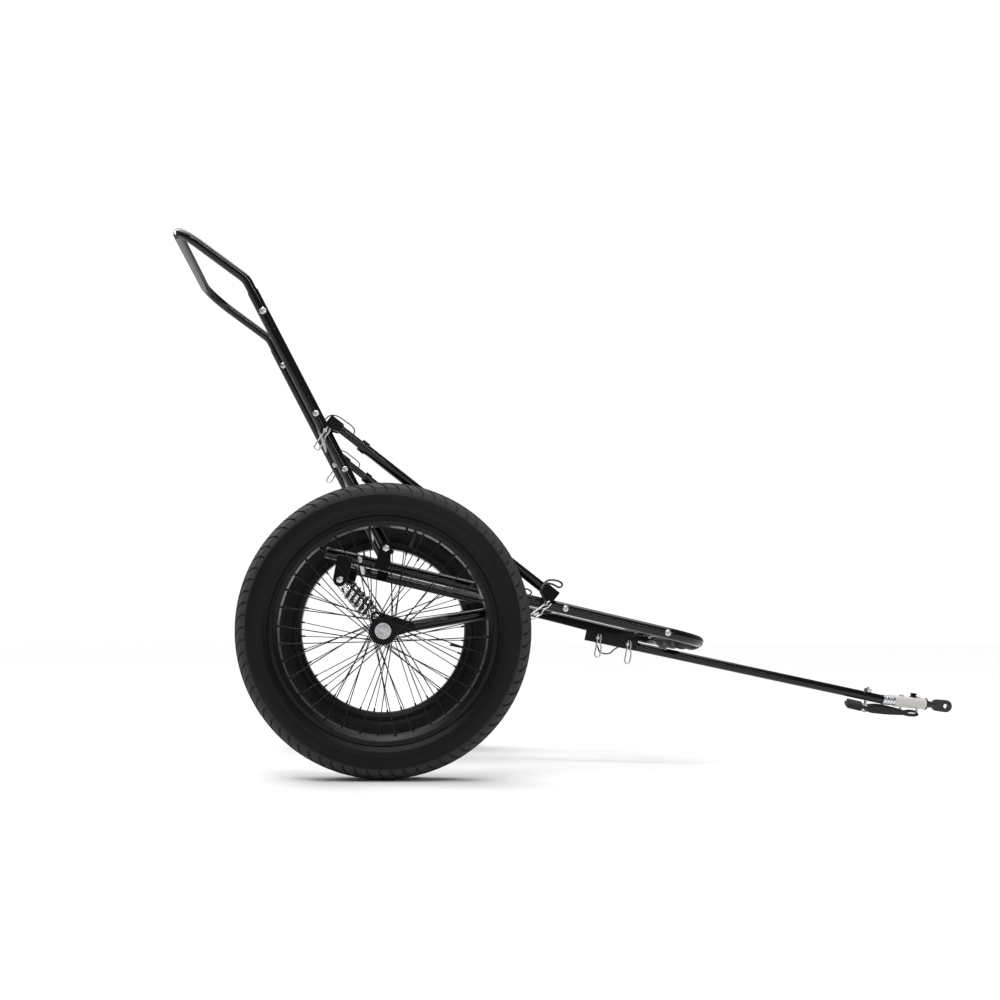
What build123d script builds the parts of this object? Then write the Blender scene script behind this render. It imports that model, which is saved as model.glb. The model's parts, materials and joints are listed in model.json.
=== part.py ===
from build123d import *
from math import cos, pi, radians, sin
import os

# Two-wheeled fat-tyre bike trailer frame with sprung arms, a raked back and a tongue hitch.
# Millimetres. X runs forward to the hitch, Y to the trailer's left, Z up from the ground.
# While it is modelled, X = 0 is at the wheel axle; the parts are written with X = 0 mid-length.

# ---- wheels
tyre_radius = 277.0
tyre_width = 100.0
tyre_wall = 5.0
tyre_shoulder_drop = 13.0
tyre_shoulder_inset = 7.0
tyre_belly_drop = 4.0
rim_width = 80.0
tyre_height = 66.0
rim_flange_height = 5.0
rim_well_depth = 8.0
rim_well_taper = 1.0
rim_seat_width = 9.0
rim_well_slope = 5.0
rim_wall = 2.5
wheel_gap = 78.0
hub_length = 76.0
hub_barrel_radius = 16.5
hub_flange_radius = 26.0
hub_flange_spacing = 60.0
hub_flange_thickness = 4.0
bearing_radius = 14.0
bearing_width = 8.0
bearing_shoulder = 3.0
hub_end_wall = 2.0
hub_neck_wall = 3.0
spoke_count = 36
spoke_radius = 1.0
spoke_hole_radius = 22.0
spoke_lace_angle = 60.0
spoke_row_offset = 20.0
spoke_row_stagger = 1.5
spoke_flange_gap = 0.8
spoke_head_radius = 2.2
spoke_head_thickness = 1.2
nipple_radius = 2.2
nipple_length = 13.0
inner_tube_radius = 30.0
inner_tube_wall = 1.5
valve_radius = 3.0
valve_length = 34.0
valve_hole_clearance = 0.5
valve_angle = {"right": 72.0, "left": -11.5}
axle_radius = 6.0
axle_shoulder_radius = 9.0
axle_head_radius = 11.0
axle_head_thickness = 7.0
axle_washer_radius = 15.0
axle_washer_thickness = 2.0
axle_nut_radius = 10.0
axle_nut_thickness = 9.0
axle_tail = 3.0

# ---- fits
running_fit = 0.05
side_gap = 0.4
end_gap = 0.5
hinge_gap = 3.3

# ---- deck
deck_half_width = 232.0
deck_pitch = 13.32
deck_rise_at_axle = 126.3
deck_tail = 110.4
deck_nose = 645.0
deck_bend_radius = 80.0
frame_tube_radius = 11.0
frame_tube_wall = 1.5
crossbar_radius = 8.0
crossbar_wall = 1.5
deck_crossbar_at = (-46.0, 361.2, 563.8)
plug_flange = 3.0
plug_depth = 16.0
plug_round = 1.8
screw_head_radius = 6.0
screw_head_height = 3.5
screw_head_round = 0.7
screw_radius = 2.5
screw_depth = 14.0
grip_wall = 2.0
grip_bump_height = 3.5
grip_bump_count = 4
grip_bump_share = 0.62

# ---- sprung arms
arm_pivot_at = 257.5
arm_pivot_drop = 26.0
arm_tube_start = 34.0
arm_lug_start = 24.0
arm_lug_radius = 11.0
arm_half_thickness = 8.0
arm_bore_start = 8.0
arm_bore_end = 16.0
arm_neck_inset = 1.0
dropout_radius = 17.0
dropout_thickness = 3.5
dropout_reach = 52.0
dropout_ear_wall = 2.0
arm_travel_degrees = 7.5
bracket_thickness = 3.0
bracket_lug_radius = 13.0
bracket_foot = 15.0
bracket_foot_radius = 5.0
bracket_foot_drop = 6.0
bracket_weld = 4.0
bolt_radius = 4.0
bolt_head_radius = 6.6
bolt_head_height = 4.0

# ---- shocks
shock_top_x = -83.4
shock_top_rise = 99.0
shock_foot_x = -13.1
shock_foot_rise = 26.5
shock_eye_radius = 9.0
shock_eye_half = 7.5
shock_seat_radius = 19.0
shock_seat_thickness = 4.0
shock_top_seat = 24.0
shock_foot_seat = 18.0
shock_stem_radius = 6.5
shock_foot_seat_radius = 16.0
shock_body_radius = 9.5
shock_body_end = 60.0
shock_rod_radius = 5.0
shock_bore_start = 28.0
shock_rod_start = 52.0
shock_bore_gap = 2.0
spring_radius = 16.0
spring_wire = 2.6
spring_turns = 4.5
spring_end_gap = 0.3

# ---- back frame
back_pivot_at = -2.2
back_pivot_rise = 33.7
back_rake = 117.4
back_tail = 14.0
back_top = 560.0
back_crossbar_at = (58.0, 171.0, 292.0)
back_bracket_lug_radius = 12.0
back_bracket_foot = 12.5
back_bracket_foot_radius = 4.0
back_bracket_skirt = 4.0
handle_bolt_at = 514.0
handle_tube_wall = 1.5
handle_fit = 0.08
handle_insert = 80.0
handle_elbow = 587.0
handle_sweep = 176.0
handle_rake = 143.6
handle_elbow_radius = 45.0
handle_bend_radius = 62.0

# ---- braces
brace_foot_at = 321.0
brace_top_at = 253.7
brace_clearance = 2.0
brace_lower_radius = 9.5
brace_upper_radius = 8.0
brace_upper_wall = 1.5
brace_lower_end = 463.0
brace_overlap = 66.0
collar_radius = 12.0
collar_length = 15.0
yoke_thickness = 2.5
yoke_gap = 0.5
yoke_front = 9.0
yoke_back = 20.0
yoke_lug_radius = 10.0
yoke_weld = 0.6
tube_setback = 3.0
pin_radius = 4.0
pin_head_radius = 6.6
pin_head_height = 3.0
pin_tail = 6.5
clip_wire = 1.6
clip_length = 40.0
clip_width = 11.0
clip_bend = 5.2
clip_tip = 5.0
clip_bow_gap = 2.2
clip_bow_bend = 5.0
clip_waist_gap = 1.0
clip_waist_at = 10.0
clip_flare_at = 18.0
clip_share = 0.55
clip_lean = {"foot": 215.0, "top": 235.0, "tongue": -100.0}
lanyard_radius = 1.2
lower_lanyard_radius = 1.9
tongue_lanyard_radius = 1.6
lanyard_exit = 9.0
cord_end_gap = 0.1

# ---- tongue and coupler
tongue_radius = 9.5
tongue_wall = 1.5
tongue_pin_at = (0.0, 64.8)
tongue_pin_x = 454.9
tongue_pin_rise = -14.9
tongue_pitch = 12.14
tongue_tail = 18.0
tongue_reach = 623.7
tongue_pin_radius = 3.5
tongue_pin_head_radius = 5.6
receiver_head_gap = 2.0
receiver_wall = 2.5
receiver_gap = 0.5
receiver_length = 108.0
receiver_start = -22.0
receiver_foot_margin = 16.0
receiver_foot_depth = 19.0
receiver_foot_sink = 4.0
coupler_pitch = 6.0
stub_insert = 45.0
stub_radius = 10.5
stub_length = 25.0
stub_groove_count = 3
stub_groove = 1.2
stub_lap = 3.0
spigot_radius = 6.5
spigot_length = 28.0
sleeve_radius = 12.0
sleeve_length = 66.0
coupler_pin_radius = 2.5
coupler_pin_head_radius = 5.0
coupler_pin_head_height = 3.0
coupler_pin_inset = 15.5
coupler_pin_sink = 0.6
cotter_half = 7.0
cotter_radius = 0.9
cotter_tail = 7.0
socket_washer_radius = 12.6
socket_washer_thickness = 2.0
neck_shaft_radius = 3.5
neck_shaft_length = 8.0
neck_shaft_chamber = 1.5
neck_radius = 6.5
neck_length = 16.0
neck_ring_radius = 7.3
neck_ring_width = 2.5
tab_thickness = 8.0
tab_radius = 13.0
tab_shoulder_radius = 12.5
tab_shoulder = 8.0
hitch_hole_at = 43.5
hitch_hole_radius = 5.1
eye_bolt_at = 590.0
eye_bolt_radius = 3.5
eye_nut_radius = 8.5
eye_nut_height = 7.0
eye_bolt_tail = 3.0
eye_drop = 17.0
eye_ring_radius = 7.0
eye_ring_wire = 2.2
strap_half_width = 12.5
strap_outline = (
    (-40.0, 19.0), (-14.0, 13.4), (-11.0, 4.0), (104.0, -8.5),
    (104.0, -18.0), (74.0, -18.0), (-6.0, -13.0), (-36.0, -4.0),
)

sides = (("right", -1.0), ("left", 1.0))
across = Vector(0, 1, 0)


# ---- sizes that follow from the ones above
rim_flange_radius = tyre_radius - tyre_height
rim_seat_radius = rim_flange_radius - rim_flange_height
rim_well_radius = rim_seat_radius - rim_well_depth
wheel_offset = deck_half_width + wheel_gap
grip_radius = frame_tube_radius + grip_wall
grip_bump_radius = grip_radius + grip_bump_height
handle_radius = frame_tube_radius - frame_tube_wall - handle_fit
brace_offset = frame_tube_radius + brace_lower_radius + brace_clearance
yoke_face = frame_tube_radius + yoke_gap + yoke_thickness
receiver_bore_half = tongue_radius + receiver_gap
receiver_half_width = receiver_bore_half + receiver_wall
receiver_top = tongue_radius + receiver_head_gap + receiver_wall


# ---- directions and reference points
def heading(angle):
    return Vector(cos(radians(angle)), 0, sin(radians(angle)))


def upright(angle):
    return heading(angle + 90)


deck_heading = heading(-deck_pitch)
deck_normal = upright(-deck_pitch)
tongue_heading = heading(-tongue_pitch)
tongue_normal = upright(-tongue_pitch)
coupler_heading = heading(-coupler_pitch)
coupler_normal = upright(-coupler_pitch)
back_heading = heading(back_rake)


def on_deck(along, rise=0.0, y=0.0):
    origin = Vector(0, y, tyre_radius + deck_rise_at_axle)
    return origin + deck_heading * along + deck_normal * rise


axle = Vector(0, 0, tyre_radius)
arm_pivot = on_deck(arm_pivot_at, -arm_pivot_drop)
back_pivot = on_deck(back_pivot_at, back_pivot_rise)
brace_foot = on_deck(brace_foot_at)
brace_top = back_pivot + back_heading * brace_top_at
brace_reach = (brace_top - brace_foot).length
brace_heading = (brace_top - brace_foot).normalized()
brace_normal = Vector(brace_heading.Z, 0, -brace_heading.X)
shock_top = Vector(shock_top_x, 0, tyre_radius + shock_top_rise)
shock_foot = Vector(shock_foot_x, 0, tyre_radius + shock_foot_rise)
tongue_pin = Vector(tongue_pin_x, 0, tyre_radius + tongue_pin_rise)
tongue_end = tongue_pin + tongue_heading * tongue_reach
coupler_start = tongue_end + coupler_heading * stub_length
coupler_bend = coupler_start + coupler_heading * (sleeve_length / 2)
coupler_face = coupler_start + coupler_heading * sleeve_length
hitch_hole = coupler_face + coupler_heading * hitch_hole_at


# ---- solids that repeat
def rod(start, end, radius):
    axis = end - start
    turned = Plane(origin=start, z_dir=axis)
    return turned * Cylinder(radius, axis.length, align=(Align.CENTER, Align.CENTER, Align.MIN))


def pipe(start, end, radius, bore):
    return rod(start, end, radius) - rod(start, end, bore)


def cross_rod(centre, y_low, y_high, radius):
    low = Vector(centre.X, y_low, centre.Z)
    high = Vector(centre.X, y_high, centre.Z)
    return rod(low, high, radius)


def upright_plate(outline, y_low, y_high):
    corners = [Vector(corner.X, y_low, corner.Z) for corner in outline]
    face = make_face(Polyline(corners, close=True))
    return extrude(face, amount=y_high - y_low, dir=across)


def round_plate(circles, y_low, y_high):
    # outer hull of circles given as (centre, radius), as thick as the two Y values say
    plane = Plane(origin=(0, y_low, 0), x_dir=(1, 0, 0), z_dir=(0, -1, 0))
    edges = []
    for centre, radius in circles:
        edges += (Pos(centre.X, centre.Z) * Circle(radius)).edges()
    return extrude(plane * make_hull(edges), amount=-(y_high - y_low))


def bent_rod(points, radii, radius):
    path = FilletPolyline(points, radius=radii)
    section = Plane(origin=path @ 0, z_dir=path % 0) * Circle(radius)
    return sweep(section, path=path)


def turned_profile(points):
    # (distance across the wheel, radius) pairs, turned about the axle
    plane = Plane(origin=axle, x_dir=(0, 1, 0), z_dir=(1, 0, 0))
    return revolve(plane * make_face(Polyline(points, close=True)), axis=Axis(axle, across))


def moved_across(shape, y):
    return Pos(0, y, 0) * shape


def joined(shapes):
    whole = shapes[0]
    for shape in shapes[1:]:
        whole = whole + shape
    return whole


def group(shapes):
    return Compound([part for shape in shapes for part in shape.solids()])


def arc_radii(points):
    # the largest even arcs: 0.45 of the shorter run over the tangent of half the turn
    radii = []
    for before, corner, after in zip(points, points[1:], points[2:]):
        turn = (corner - before).get_angle(after - corner)
        run = min((corner - before).length, (after - corner).length)
        radii.append(0.45 * run / abs(sin(radians(turn / 2)) / cos(radians(turn / 2))))
    return radii


def cord_tube(name, points, radius):
    radii = arc_radii(points)
    tube = bent_rod(points, radii, radius)
    length = FilletPolyline(points, radius=radii).length
    share = tube.volume / (pi * radius**2 * length)
    print(name, "length", round(length, 1), "radii", [round(r, 1) for r in radii], "volume", round(share, 3))
    return tube


# ---- wheel
def make_tyre():
    half = tyre_width / 2
    bead = rim_width / 2 - rim_wall
    shoulder = half - tyre_shoulder_inset
    shoulder_radius = tyre_radius - tyre_shoulder_drop
    mid_radius = (rim_flange_radius + shoulder_radius) / 2 - tyre_belly_drop
    plane = Plane(origin=axle, x_dir=(0, 1, 0), z_dir=(1, 0, 0))
    outer = [
        Line((-bead, rim_seat_radius), (-bead, rim_flange_radius)),
        ThreePointArc((-bead, rim_flange_radius), (-half, mid_radius), (-shoulder, shoulder_radius)),
        ThreePointArc((-shoulder, shoulder_radius), (0, tyre_radius), (shoulder, shoulder_radius)),
        ThreePointArc((shoulder, shoulder_radius), (half, mid_radius), (bead, rim_flange_radius)),
        Line((bead, rim_flange_radius), (bead, rim_seat_radius)),
    ]
    lip = bead - tyre_wall
    crown = tyre_radius - tyre_wall
    tread_edge = shoulder - tyre_wall
    tread_radius = shoulder_radius - tyre_wall / 2
    inner = [
        Line((bead, rim_seat_radius), (lip, rim_seat_radius)),
        Line((lip, rim_seat_radius), (lip, rim_flange_radius)),
        ThreePointArc((lip, rim_flange_radius), (half - tyre_wall, mid_radius), (tread_edge, tread_radius)),
        ThreePointArc((tread_edge, tread_radius), (0, crown), (-tread_edge, tread_radius)),
        ThreePointArc((-tread_edge, tread_radius), (tyre_wall - half, mid_radius), (-lip, rim_flange_radius)),
        Line((-lip, rim_flange_radius), (-lip, rim_seat_radius)),
        Line((-lip, rim_seat_radius), (-bead, rim_seat_radius)),
    ]
    return revolve(plane * make_face(outer + inner), axis=Axis(axle, across))


def make_rim(angle):
    edge = rim_width / 2
    seat_edge = edge - rim_wall - rim_seat_width
    well_edge = seat_edge - rim_well_slope
    outer = [
        (-edge, rim_flange_radius), (-edge + rim_wall, rim_flange_radius),
        (-edge + rim_wall, rim_seat_radius), (-seat_edge, rim_seat_radius),
        (-well_edge, rim_well_radius), (well_edge, rim_well_radius),
        (seat_edge, rim_seat_radius), (edge - rim_wall, rim_seat_radius),
        (edge - rim_wall, rim_flange_radius), (edge, rim_flange_radius),
    ]
    inner = [
        (edge, rim_seat_radius - rim_wall), (seat_edge - rim_well_taper, rim_seat_radius - rim_wall),
        (well_edge - rim_well_taper, rim_well_radius - rim_wall),
        (rim_well_taper - well_edge, rim_well_radius - rim_wall),
        (rim_well_taper - seat_edge, rim_seat_radius - rim_wall), (-edge, rim_seat_radius - rim_wall),
    ]
    return turned_profile(outer + inner) - valve_stem(angle, valve_radius + valve_hole_clearance)


def valve_stem(angle, radius):
    out = heading(angle)
    foot = axle + out * (rim_well_radius - valve_length)
    return rod(foot, axle + out * (rim_well_radius + rim_wall), radius)


def make_inner_tube(angle):
    # a soft ring that fills the tyre's cavity and rests on the rim's well
    centre_radius = rim_well_radius + inner_tube_radius
    plane = Plane(origin=axle, x_dir=(0, 1, 0), z_dir=(1, 0, 0))
    section = Circle(inner_tube_radius) - Circle(inner_tube_radius - inner_tube_wall)
    ring = revolve(plane * (Pos(0, centre_radius) * section), axis=Axis(axle, across))
    return ring + valve_stem(angle, valve_radius)


def make_hub():
    half = hub_length / 2
    flange = hub_flange_spacing / 2
    thick = hub_flange_thickness / 2
    outer = [(-half, bearing_radius + hub_end_wall), (-flange - thick, bearing_radius + hub_neck_wall)]
    outer += [(-flange - thick, hub_flange_radius), (-flange + thick, hub_flange_radius)]
    outer += [(-flange + thick, hub_barrel_radius), (flange - thick, hub_barrel_radius)]
    outer += [(flange - thick, hub_flange_radius), (flange + thick, hub_flange_radius)]
    outer += [(flange + thick, bearing_radius + hub_neck_wall), (half, bearing_radius + hub_end_wall)]
    seat = half - bearing_width
    bore = bearing_radius - bearing_shoulder
    inner = [(half, bearing_radius), (seat, bearing_radius), (seat, bore)]
    inner += [(-seat, bore), (-seat, bearing_radius), (-half, bearing_radius)]
    return turned_profile(outer + inner)


def make_bearings():
    half = hub_length / 2
    seat = half - bearing_width
    bore = axle_radius + running_fit
    near = cross_rod(axle, -half, -seat, bearing_radius) - cross_rod(axle, -half, -seat, bore)
    far = cross_rod(axle, seat, half, bearing_radius) - cross_rod(axle, seat, half, bore)
    return group([near, far])


def make_spokes(angle):
    bed = cross_rod(axle, -rim_width, rim_width, rim_well_radius - rim_wall)
    solids = []
    for index in range(spoke_count):
        flange = 1 if index % 2 else -1
        slot = index // 2
        lead = 1 if slot % 2 else -1
        rim_angle = angle + 180 / spoke_count + 360 * index / spoke_count
        hub_angle = rim_angle + lead * spoke_lace_angle
        lift = hub_flange_thickness / 2 + spoke_flange_gap + spoke_radius
        hub_y = flange * (hub_flange_spacing / 2) + lead * lift
        rim_y = flange * spoke_row_offset + lead * spoke_row_stagger
        hub_end = axle + heading(hub_angle) * spoke_hole_radius + across * hub_y
        rim_end = axle + heading(rim_angle) * (rim_well_radius + rim_wall) + across * rim_y
        run = (rim_end - hub_end).normalized()
        seat = hub_end + run * ((rim_end - hub_end).length - nipple_length)
        spoke = rod(hub_end, rim_end - run * (nipple_length / 2), spoke_radius)
        head_start = hub_end - across * (lead * (spoke_radius + spoke_flange_gap))
        head_end = hub_end + across * (lead * (spoke_radius + spoke_head_thickness))
        head = rod(head_start, head_end, spoke_head_radius)
        nipple = (rod(seat, rim_end, nipple_radius) & bed) - spoke
        solids += (spoke + head).solids() + nipple.solids()
    return Compound(solids)


def axle_stations(sign):
    # Y of the dropout's outer face, the hub's inner face and the hub's outer face
    dropout_face = sign * (deck_half_width + arm_half_thickness + dropout_thickness)
    hub_inner = sign * (wheel_offset - hub_length / 2 - end_gap)
    hub_outer = sign * (wheel_offset + hub_length / 2 + end_gap)
    return dropout_face, hub_inner, hub_outer


def make_axle(sign):
    dropout_face, hub_inner, hub_outer = axle_stations(sign)
    inner_face = sign * (deck_half_width - arm_half_thickness - dropout_thickness)
    washer_end = hub_outer + sign * axle_washer_thickness
    nut_end = washer_end + sign * axle_nut_thickness
    shaft = cross_rod(axle, inner_face, nut_end + sign * axle_tail, axle_radius)
    head = cross_rod(axle, inner_face - sign * axle_head_thickness, inner_face, axle_head_radius)
    shoulder = cross_rod(axle, dropout_face, hub_inner, axle_shoulder_radius)
    washer = cross_rod(axle, hub_outer, washer_end, axle_washer_radius)
    hexagon = extrude(
        Plane(origin=Vector(axle.X, washer_end, axle.Z), z_dir=across * sign)
        * RegularPolygon(axle_nut_radius, 6), amount=axle_nut_thickness)
    body = joined([shaft, head, shoulder])
    return group([body, washer - shaft, hexagon - shaft])


# ---- sprung arm and shock
def make_arm(sign):
    y = sign * deck_half_width
    run = (arm_pivot - axle).normalized()
    reach = (arm_pivot - axle).length
    plane_axle = axle + across * y
    start = plane_axle + run * arm_tube_start
    end = plane_axle + run * (reach - arm_lug_start)
    inner = arm_half_thickness
    outer = arm_half_thickness + dropout_thickness
    tube = rod(start, end, frame_tube_radius)
    neck = axle + run * dropout_reach
    dropout = [(axle, dropout_radius), (shock_foot, shock_eye_radius + dropout_ear_wall)]
    dropout.append((neck, frame_tube_radius - arm_neck_inset))
    plates = [round_plate(dropout, y + low, y + low + dropout_thickness) for low in (inner, -outer)]
    lug_end = axle + run * (reach - 2 * arm_lug_start)
    lug_circles = [(arm_pivot, arm_lug_radius), (lug_end, frame_tube_radius - arm_neck_inset)]
    lug = round_plate(lug_circles, y - inner, y + inner)
    arm = joined([tube, lug] + plates)
    bore = frame_tube_radius - frame_tube_wall
    arm -= rod(start + run * arm_bore_start, end - run * arm_bore_end, bore)
    arm -= cross_rod(arm_pivot, y - inner, y + inner, bolt_radius + running_fit)
    arm -= cross_rod(axle, y - outer, y + outer, axle_radius)
    arm -= cross_rod(shock_foot, y - outer, y + outer, bolt_radius)
    return arm


def headed_bolt(centre, y, half, radius, head_radius, head_height):
    # a bolt across Y with a head at the outer end and a nut at the inner one
    outer = 1 if y > 0 else -1
    shank = cross_rod(centre, y - half, y + half, radius)
    head = cross_rod(centre, y + outer * half, y + outer * (half + head_height), head_radius)
    nut = cross_rod(centre, y - outer * (half + head_height), y - outer * half, head_radius)
    return joined([shank, head, nut])


shock_run = (shock_foot - shock_top).normalized()
shock_reach = (shock_foot - shock_top).length


def shock_point(from_top, y):
    return shock_top + shock_run * from_top + across * y


def make_shock_body(sign):
    y = sign * deck_half_width
    eye = cross_rod(shock_top, y - shock_eye_half, y + shock_eye_half, shock_eye_radius)
    stem = rod(shock_point(0, y), shock_point(shock_top_seat, y), shock_stem_radius)
    seat_face = shock_point(shock_top_seat, y)
    seat = rod(shock_point(shock_top_seat - shock_seat_thickness, y), seat_face, shock_seat_radius)
    body_end = shock_point(shock_body_end, y)
    barrel = rod(seat_face, body_end, shock_body_radius)
    bore = rod(shock_point(shock_bore_start, y), body_end, shock_rod_radius + shock_bore_gap)
    body = joined([eye, stem, seat, barrel]) - bore
    return body - cross_rod(shock_top, y - shock_eye_half, y + shock_eye_half, bolt_radius + running_fit)


def make_shock_rod(sign):
    y = sign * deck_half_width
    seat_at = shock_reach - shock_foot_seat
    eye = cross_rod(shock_foot, y - shock_eye_half, y + shock_eye_half, shock_eye_radius)
    shaft = rod(shock_point(shock_rod_start, y), shock_point(shock_reach, y), shock_rod_radius)
    seat_end = shock_point(seat_at + shock_seat_thickness, y)
    seat = rod(shock_point(seat_at, y), seat_end, shock_foot_seat_radius)
    bore = cross_rod(shock_foot, y - shock_eye_half, y + shock_eye_half, bolt_radius + running_fit)
    return joined([eye, shaft, seat]) - bore


def make_spring(sign):
    y = sign * deck_half_width
    start = shock_top_seat + spring_wire + spring_end_gap
    height = shock_reach - shock_foot_seat - spring_wire - spring_end_gap - start
    coil = Helix(pitch=height / spring_turns, height=height, radius=spring_radius)
    wire = Plane(origin=coil @ 0, z_dir=coil % 0) * Circle(spring_wire)
    spring = sweep(wire, path=coil, is_frenet=True)
    return Plane(origin=shock_point(start, y), z_dir=shock_run) * spring


# ---- deck
def rail_at(y):
    return rod(on_deck(-deck_tail, 0, y), on_deck(deck_nose, 0, y), frame_tube_radius)


def cross_holes(shape, centres, y, radius):
    for centre in centres:
        shape = shape - cross_rod(centre, y - 3 * frame_tube_radius, y + 3 * frame_tube_radius, radius)
    return shape


def deck_loop(radius):
    corners = [
        on_deck(-deck_tail, 0, -deck_half_width), on_deck(deck_nose, 0, -deck_half_width),
        on_deck(deck_nose, 0, deck_half_width), on_deck(-deck_tail, 0, deck_half_width),
    ]
    return bent_rod(corners, deck_bend_radius, radius)


def make_deck_frame():
    frame = deck_loop(frame_tube_radius) - deck_loop(frame_tube_radius - frame_tube_wall)
    screws = [on_deck(along) for along in deck_crossbar_at]
    for side, sign in sides:
        y = sign * deck_half_width
        frame = cross_holes(frame, screws, y, screw_radius)
        frame = cross_holes(frame, [brace_foot], y, pin_radius + running_fit)
    return frame


def crossbars(centres, rails):
    bars = []
    for centre in centres:
        bar = cross_rod(centre, -deck_half_width, deck_half_width, crossbar_radius)
        bar -= cross_rod(centre, -deck_half_width, deck_half_width, crossbar_radius - crossbar_wall)
        bars.append(bar - rails)
    return bars


def make_deck_crossbars():
    return group(crossbars([on_deck(along) for along in deck_crossbar_at], deck_loop(frame_tube_radius)))


def side_screws(centres):
    # button-head screws through the outer tube wall into each end of a crossbar
    screws = []
    for centre in centres:
        for side, sign in sides:
            face = sign * (deck_half_width + frame_tube_radius)
            shank = cross_rod(centre, face - sign * (2 * frame_tube_radius + screw_depth), face, screw_radius)
            head = cross_rod(centre, face, face + sign * screw_head_height, screw_head_radius)
            rim = head.edges().sort_by(Axis.Y)[-1 if sign > 0 else 0]
            head = fillet(rim, screw_head_height * screw_head_round)
            screws.append(shank + head)
    return screws


def make_deck_fasteners():
    bolts = []
    half = arm_half_thickness + side_gap + bracket_thickness
    back_half = frame_tube_radius + side_gap + bracket_thickness
    for side, sign in sides:
        y = sign * deck_half_width
        for centre in (arm_pivot, shock_top):
            bolts.append(headed_bolt(centre, y, half, bolt_radius, bolt_head_radius, bolt_head_height))
        bolts.append(headed_bolt(back_pivot, y, back_half, bolt_radius, bolt_head_radius, bolt_head_height))
    return group(bolts + side_screws([on_deck(along) for along in deck_crossbar_at]))


def make_rail_plugs():
    plugs = []
    bore = frame_tube_radius - frame_tube_wall
    for side, sign in sides:
        y = sign * deck_half_width
        tail = on_deck(-deck_tail, 0, y)
        cap = rod(tail - deck_heading * plug_flange, tail, frame_tube_radius)
        cap = fillet(cap.edges().sort_by(Axis.X)[0], plug_round)
        plugs.append(cap + rod(tail, tail + deck_heading * plug_depth, bore))
    return group(plugs)


def make_front_grip():
    half = deck_half_width - deck_bend_radius
    bar = on_deck(deck_nose)
    sleeve = cross_rod(bar, -half, half, grip_radius)
    pitch = 2 * half / grip_bump_count
    for index in range(grip_bump_count):
        middle = -half + pitch * (index + 0.5)
        reach = pitch * grip_bump_share / 2
        sleeve += cross_rod(bar, middle - reach, middle + reach, grip_bump_radius)
    keep = Plane(origin=bar, x_dir=(1, 0, 0), z_dir=-deck_normal) * Box(
        4 * frame_tube_radius, 4 * half, 4 * frame_tube_radius, align=(Align.CENTER, Align.CENTER, Align.MIN))
    return (sleeve & keep) - cross_rod(bar, -half, half, frame_tube_radius)


def make_deck_brackets():
    plates = []
    for side, sign in sides:
        y = sign * deck_half_width
        rail = rail_at(y)
        inner = arm_half_thickness + side_gap
        outer = inner + bracket_thickness
        for centre in (arm_pivot, shock_top):
            along = (centre - on_deck(0)).dot(deck_heading)
            feet = [(on_deck(along + shift, -bracket_foot_drop), bracket_foot_radius)
                    for shift in (bracket_foot_radius - bracket_foot, bracket_foot - bracket_foot_radius)]
            cheek = [(centre, bracket_lug_radius)] + feet
            for low in (y + inner, y - outer):
                plate = round_plate(cheek, low, low + bracket_thickness)
                plates.append(plate - rail - cross_rod(centre, y - outer, y + outer, bolt_radius))
        inner = frame_tube_radius + side_gap
        outer = inner + bracket_thickness
        spread = back_bracket_foot - back_bracket_foot_radius
        feet = [(on_deck(back_pivot_at + shift, -back_bracket_skirt), back_bracket_foot_radius)
                for shift in (-spread, spread)]
        pad_inner = inner - bracket_weld
        for plate_low, pad_low in ((inner, pad_inner), (-outer, -outer)):
            plate_low, pad_low = y + plate_low, y + pad_low
            cheek = [(back_pivot, back_bracket_lug_radius)] + feet
            plate = round_plate(cheek, plate_low, plate_low + bracket_thickness)
            plate = plate + round_plate(feet, pad_low, pad_low + outer - pad_inner) - rail
            plates.append(plate - cross_rod(back_pivot, y - outer, y + outer, bolt_radius))
    return group(plates)


# ---- back frame
def on_back(along, y=0.0):
    return back_pivot + back_heading * along + across * y


def make_back_tube(sign):
    y = sign * deck_half_width
    bore = frame_tube_radius - frame_tube_wall
    tube = pipe(on_back(-back_tail, y), on_back(back_top, y), frame_tube_radius, bore)
    tube = cross_holes(tube, [on_back(along) for along in back_crossbar_at], y, screw_radius)
    tube = cross_holes(tube, [on_back(handle_bolt_at)], y, bolt_radius)
    tube = cross_holes(tube, [back_pivot], y, bolt_radius + running_fit)
    return cross_holes(tube, [brace_top], y, pin_radius + hinge_gap)


def back_rails():
    low = rod(on_back(0, -deck_half_width), on_back(back_top, -deck_half_width), frame_tube_radius)
    high = rod(on_back(0, deck_half_width), on_back(back_top, deck_half_width), frame_tube_radius)
    return low + high


def make_back_crossbars():
    return group(crossbars([on_back(along) for along in back_crossbar_at], back_rails()))


def make_back_fasteners():
    bolts = []
    for side, sign in sides:
        y = sign * deck_half_width
        centre = on_back(handle_bolt_at)
        half = frame_tube_radius
        bolts.append(headed_bolt(centre, y, half, bolt_radius, bolt_head_radius, bolt_head_height))
    return group(bolts + side_screws([on_back(along) for along in back_crossbar_at]))


def make_handle():
    sweep_back = heading(handle_rake) * handle_sweep
    corners = []
    for side, sign in sides:
        y = sign * deck_half_width
        elbow = on_back(handle_elbow, y)
        leg = [on_back(back_top - handle_insert, y), elbow, elbow + sweep_back]
        corners += leg if sign < 0 else leg[::-1]
    radii = [handle_elbow_radius, handle_bend_radius, handle_bend_radius, handle_elbow_radius]
    outer = bent_rod(corners, radii, handle_radius)
    handle = outer - bent_rod(corners, radii, handle_radius - handle_tube_wall)
    for side, sign in sides:
        handle = cross_holes(handle, [on_back(handle_bolt_at)], sign * deck_half_width, bolt_radius)
    return handle


# ---- braces
def on_brace(along, rise, y=0.0):
    return brace_foot + brace_heading * along + brace_normal * rise + across * y


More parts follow.
